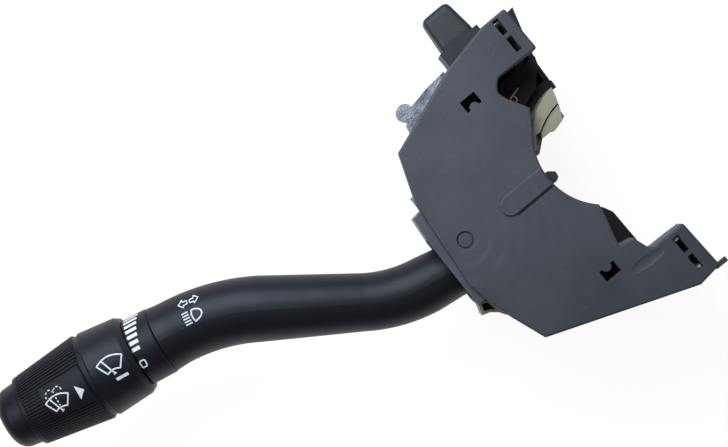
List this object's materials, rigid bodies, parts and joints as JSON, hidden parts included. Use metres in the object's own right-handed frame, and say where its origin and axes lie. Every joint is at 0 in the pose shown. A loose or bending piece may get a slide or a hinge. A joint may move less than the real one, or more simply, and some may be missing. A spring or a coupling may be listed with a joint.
{
  "type": "combination stalk switch",
  "caption": "Steering-column switch: a bent lever for turn signals and high beam, with a turning wiper knob and push-in washer button at its tip, and a square hazard push button.",
  "frame": {"origin": "the steering column's axis, in the plane of the mounting pads' rear faces", "axes": "+Z along the column towards the driver, +Y towards the hazard button, +X out of the open side of the mouth; the stalk leaves towards -X and +Y"},
  "size_m": [0.2423, 0.1359, 0.0587],
  "materials": {
    "cover_plastic": "fine-grained moulded plastic, dark blue-grey",
    "stalk_plastic": "satin moulded plastic, near black",
    "cream_nylon": "natural nylon",
    "pawl_plastic": "dark acetal",
    "black_housing": "matte black moulded plastic",
    "grey_plastic": "pale grey moulded plastic",
    "frame_plastic": "dark blue-grey moulded plastic",
    "cast_zinc": "die-cast zinc, dull",
    "bright_steel": "zinc-plated steel",
    "contact_brass": "plain brass",
    "laminate": "brown laminate"
  },
  "bodies": {
    "housing": {"front_cover": "cover_plastic", "contact_carrier": "cream_nylon", "column_guide": "cream_nylon", "mounting_bracket": "cast_zinc", "bracket_rivets": "bright_steel", "pivot_pin": "bright_steel", "stalk_frame": "frame_plastic", "rear_housing": "black_housing", "main_connector": "black_housing", "main_connector_pins": "contact_brass", "side_connector": "black_housing", "side_connector_pins": "contact_brass", "housing_screws": "bright_steel", "contact_board": "laminate", "board_contacts": "contact_brass", "detent_track": "cream_nylon", "hazard_collar": "cover_plastic", "hazard_block": "cream_nylon", "pawl_clip": "bright_steel", "return_spring": "contact_brass"},
    "turn_carrier": {"turn_yoke": "cream_nylon", "yoke_contact": "contact_brass", "detent_spring": "bright_steel"},
    "plunger": {"detent_plunger": "cream_nylon"},
    "dimmer": {"dimmer_slider": "cream_nylon"},
    "stalk": {"stalk_shell": "stalk_plastic", "stalk_root": "cast_zinc", "cross_pin": "bright_steel", "spigot": "grey_plastic", "spigot_clip": "bright_steel", "scale_ring": "stalk_plastic", "wiper_board": "laminate"},
    "knob": {"pointer_ring": "stalk_plastic", "wiper_contact": "contact_brass", "grip_collar": "stalk_plastic", "knob_grip": "stalk_plastic"},
    "washer": {"washer_cap": "stalk_plastic", "washer_stem": "grey_plastic", "washer_spring": "bright_steel"},
    "hazard": {"hazard_button": "cover_plastic", "hazard_stem": "bright_steel", "hazard_spring": "bright_steel"},
    "pawl": {"cancel_pawl": "pawl_plastic"}
  },
  "joints": [
    {"name": "turn_signal", "type": "hinge", "parent": "housing", "child": "turn_carrier", "pos_m": [-0.0621, 0.0025, 0.015], "axis": [0, 0, 1], "range_deg": [-11, 11]},
    {"name": "detent_plunge", "type": "slide", "parent": "turn_carrier", "child": "plunger", "axis": [-0.9804, 0.1968, 0], "range_m": [0, 0.0015], "stiffness_N_per_m": 300, "springref_m": -0.001, "deforming": ["detent_spring"]},
    {"name": "headlamp_flash", "type": "hinge", "parent": "turn_carrier", "child": "stalk", "pos_m": [-0.0593, -0.00643, 0.015], "axis": [0.1968, 0.9804, 0], "range_deg": [0, 8], "stiffness_Nm_per_rad": 2, "springref_deg": -5.73},
    {"name": "dimmer_slide", "type": "slide", "parent": "turn_carrier", "child": "dimmer", "axis": [0, 0, 1], "range_m": [-0.0013, 0]},
    {"name": "wiper_turn", "type": "hinge", "parent": "stalk", "child": "knob", "pos_m": [-0.16987, 0.04463, 0.015], "axis": [-0.9804, 0.1968, 0], "range_deg": [0, 125]},
    {"name": "washer_push", "type": "slide", "parent": "knob", "child": "washer", "axis": [0.9804, -0.1968, 0], "range_m": [0, 0.0025], "stiffness_N_per_m": 600, "springref_m": -0.002, "deforming": ["washer_spring"]},
    {"name": "hazard_push", "type": "slide", "parent": "housing", "child": "hazard", "axis": [0, -1, 0], "range_m": [0, 0.003], "stiffness_N_per_m": 600, "springref_m": -0.002, "deforming": ["hazard_spring"]},
    {"name": "cancel_swing", "type": "hinge", "parent": "housing", "child": "pawl", "pos_m": [-0.042, 0.0016, 0.027], "axis": [0, 0, 1], "range_deg": [-5.5, 5.5], "stiffness_Nm_per_rad": 0.005}
  ],
  "couplings": [
    {"joint": "dimmer_slide", "follows": "headlamp_flash", "m_per_rad": -0.0093}
  ]
}
